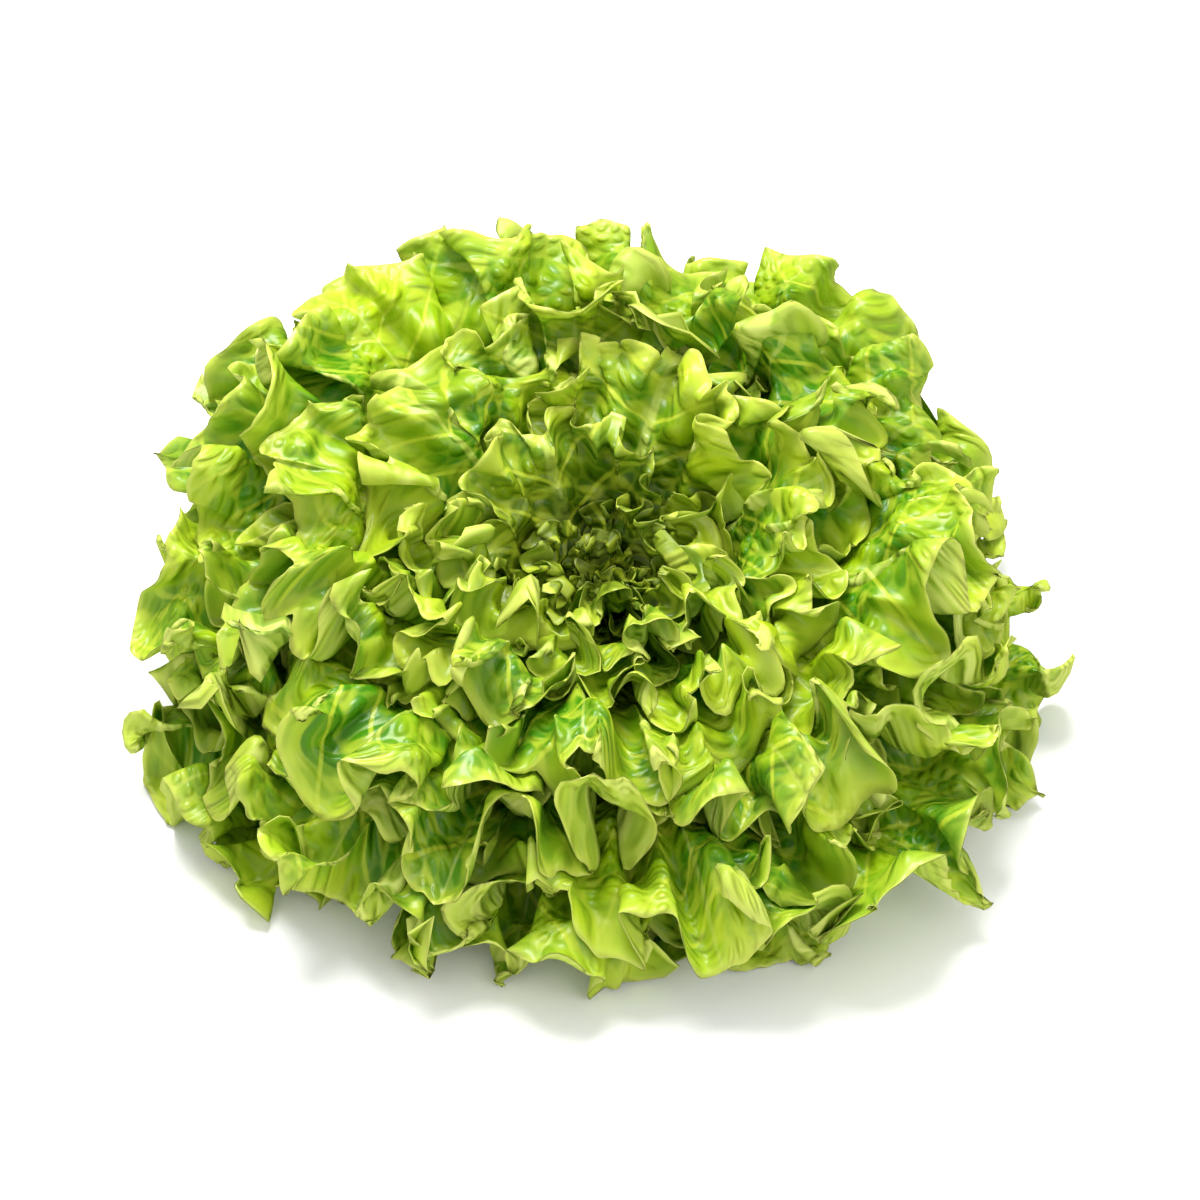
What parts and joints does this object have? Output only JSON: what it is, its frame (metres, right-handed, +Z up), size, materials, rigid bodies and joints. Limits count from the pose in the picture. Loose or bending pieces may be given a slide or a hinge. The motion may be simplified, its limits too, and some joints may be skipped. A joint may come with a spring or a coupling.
{
  "type": "batavia lettuce head",
  "caption": "Open head of batavia lettuce on its cut stem: waved, blistered green leaves spiralling up round a small curled heart.",
  "frame": {"origin": "centre of the flat cut face of the stem, on the surface that the head stands on", "axes": "+Z up; -Y towards the side to which the head leans and opens, which the picture shows; +X to the right of that view"},
  "size_m": [0.2966, 0.2928, 0.1185],
  "materials": {
    "outer_leaf": "satin living leaf, mid green",
    "middle_leaf": "satin living leaf, bright green",
    "inner_leaf": "satin living leaf, yellow-green",
    "heart_leaf": "satin young leaf, olive green",
    "stem": "moist pale cut stem"
  },
  "bodies": {
    "root": {"stem": "stem", "heart": "heart_leaf", "leaf_01": "outer_leaf", "leaf_02": "outer_leaf", "leaf_03": "outer_leaf", "leaf_04": "outer_leaf", "leaf_05": "outer_leaf", "leaf_06": "outer_leaf", "leaf_07": "outer_leaf", "leaf_08": "outer_leaf", "leaf_09": "outer_leaf", "leaf_10": "outer_leaf", "leaf_11": "outer_leaf", "leaf_12": "outer_leaf", "leaf_13": "outer_leaf", "leaf_14": "outer_leaf", "leaf_15": "outer_leaf", "leaf_16": "middle_leaf", "leaf_17": "middle_leaf", "leaf_18": "middle_leaf", "leaf_19": "middle_leaf", "leaf_20": "middle_leaf", "leaf_21": "middle_leaf", "leaf_22": "middle_leaf", "leaf_23": "middle_leaf", "leaf_24": "middle_leaf", "leaf_25": "middle_leaf", "leaf_26": "middle_leaf", "leaf_27": "middle_leaf", "leaf_28": "middle_leaf", "leaf_29": "middle_leaf", "leaf_30": "middle_leaf", "leaf_31": "inner_leaf", "leaf_32": "inner_leaf", "leaf_33": "inner_leaf", "leaf_34": "inner_leaf", "leaf_35": "inner_leaf", "leaf_36": "inner_leaf", "leaf_37": "inner_leaf", "leaf_38": "inner_leaf", "leaf_39": "inner_leaf", "leaf_40": "inner_leaf", "leaf_41": "inner_leaf", "leaf_42": "inner_leaf", "leaf_43": "inner_leaf", "leaf_44": "inner_leaf"}
  },
  "joints": []
}
